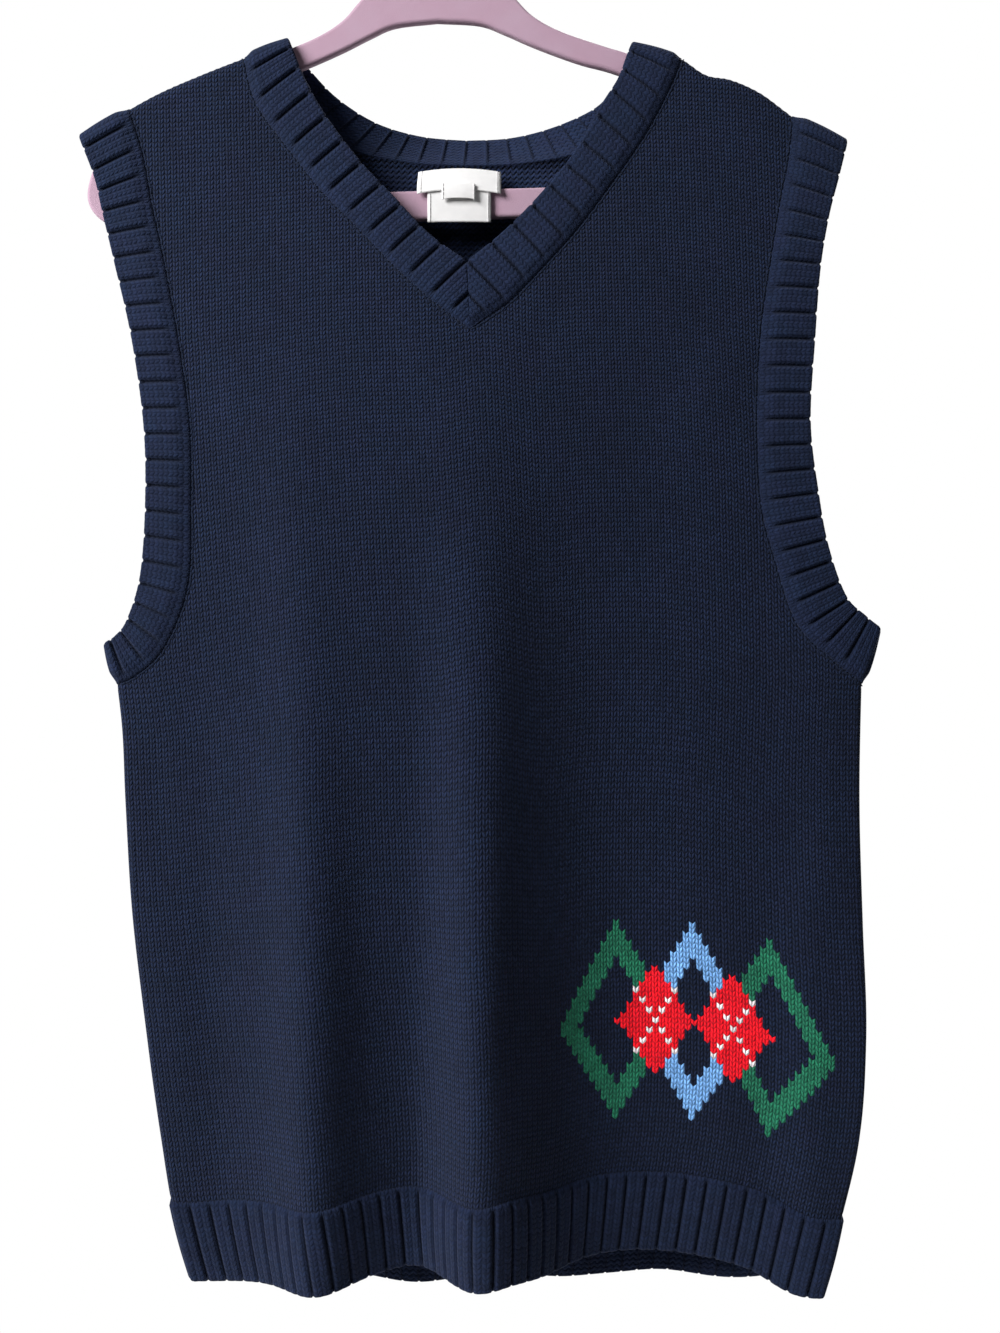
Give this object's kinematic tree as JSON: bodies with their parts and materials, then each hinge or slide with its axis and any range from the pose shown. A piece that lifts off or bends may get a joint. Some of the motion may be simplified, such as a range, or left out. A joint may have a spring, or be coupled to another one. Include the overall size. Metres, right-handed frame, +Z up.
{
  "type": "knitted sweater vest on a clothes hanger",
  "caption": "Child's V-neck knitted sweater vest with ribbed neck, armholes and hem, an argyle motif low on the front, hung on a flocked clothes hanger.",
  "frame": {"origin": "inside of the hook's crown, where a rail carries the hanger", "axes": "+Z up along the hanging cloth, +X towards the viewer's right, the vest's front towards -Y"},
  "size_m": [0.4006, 0.088, 0.7462],
  "materials": {
    "navy_knit": "matt wool and cotton stockinette and rib knit",
    "label_cloth": "woven satin label, blank",
    "pink_flock": "short velvet flock on plastic",
    "steel": "satin nickel plate"
  },
  "bodies": {
    "root": {"front_panel": "navy_knit", "back_panel": "navy_knit", "hem_rib_front": "navy_knit", "hem_rib_back": "navy_knit", "neck_band": "navy_knit", "armhole_band_left": "navy_knit", "armhole_band_right": "navy_knit", "label_main": "label_cloth", "label_care": "label_cloth", "label_size": "label_cloth", "hanger": "pink_flock", "hook_collar": "steel", "hook": "steel"}
  },
  "joints": []
}
